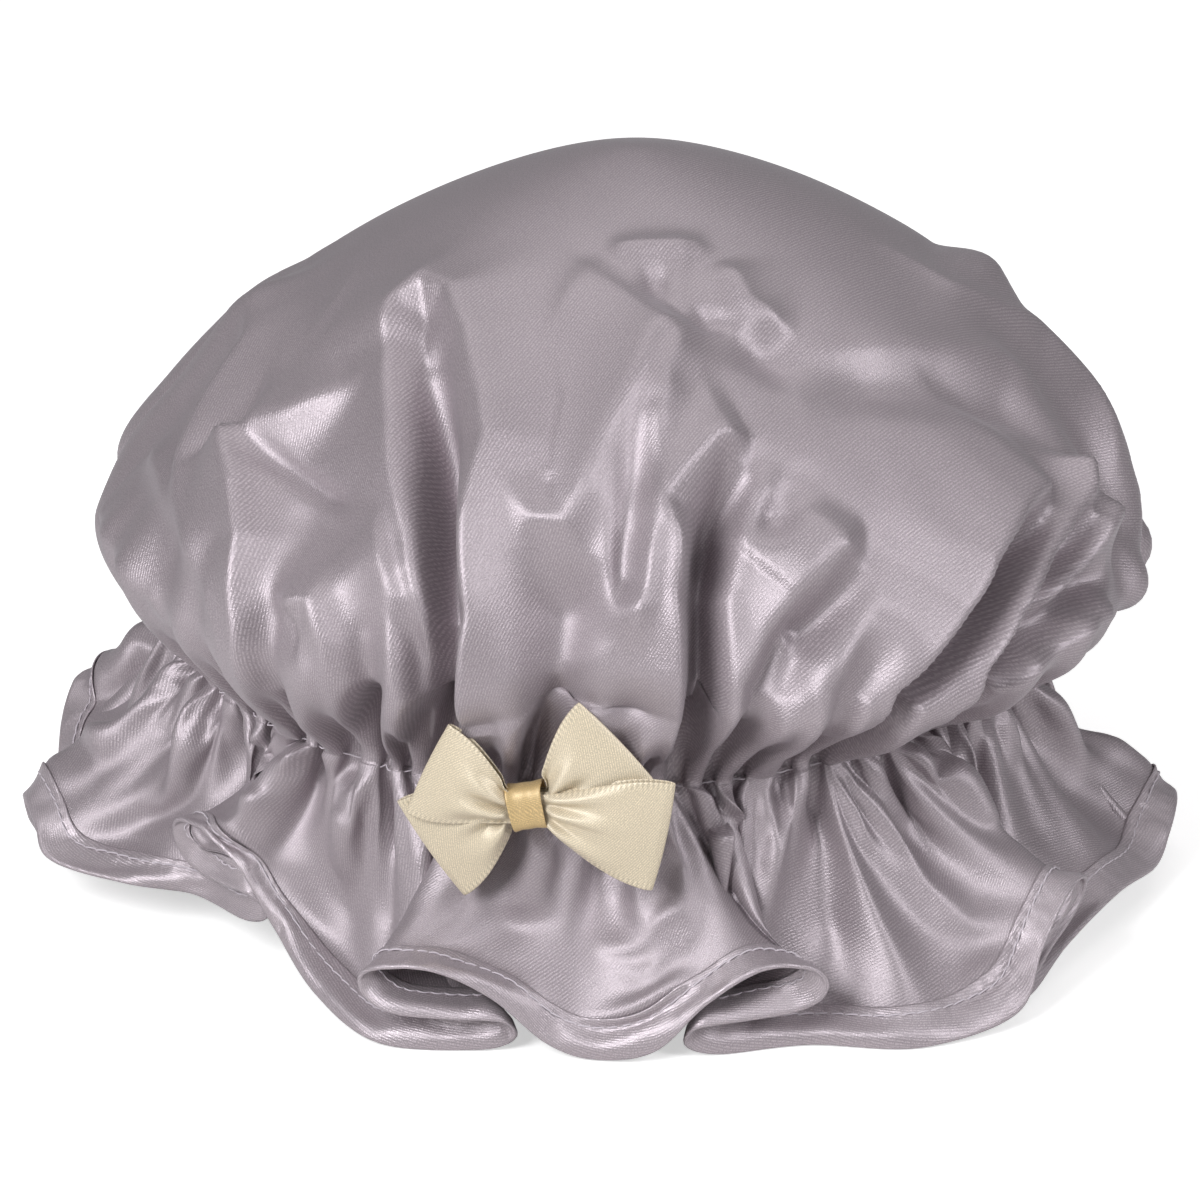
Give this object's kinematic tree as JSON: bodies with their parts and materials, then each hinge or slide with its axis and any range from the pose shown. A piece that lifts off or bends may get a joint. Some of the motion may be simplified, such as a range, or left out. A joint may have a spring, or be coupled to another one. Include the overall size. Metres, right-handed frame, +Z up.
{
  "type": "satin sleep cap",
  "caption": "Round satin sleep cap with a gathered crown, an elastic at the gathering line, a fluted ruffle with a bound hem and a small ribbon bow at the front.",
  "frame": {"origin": "under the middle of the cap's outline, on the plane that the hem stands on", "axes": "+Z up through the crown, -Y towards the front with the bow, +X to the right of someone who faces the bow"},
  "size_m": [0.268, 0.2358, 0.1591],
  "materials": {
    "satin": "silver grey polyester satin, single layer, soft sheen",
    "satin_tape": "the same satin cut as a tape and folded over the hem",
    "sewing_thread": "spun polyester thread, matt",
    "elastic": "braided flat elastic over rubber cores",
    "ivory_ribbon": "ivory satin ribbon with woven edges",
    "gold_ribbon": "pale gold satin ribbon"
  },
  "bodies": {
    "root": {"crown": "satin", "ruffle": "satin", "hem_binding": "satin_tape", "hem_needle_thread": "sewing_thread", "hem_bobbin_thread": "sewing_thread", "elastic_band": "elastic", "elastic_needle_thread": "sewing_thread", "elastic_bobbin_thread": "sewing_thread", "bow_tack_thread": "sewing_thread", "bow_front_ribbon": "ivory_ribbon", "bow_back_ribbon": "ivory_ribbon", "bow_knot_band": "gold_ribbon"}
  },
  "joints": []
}
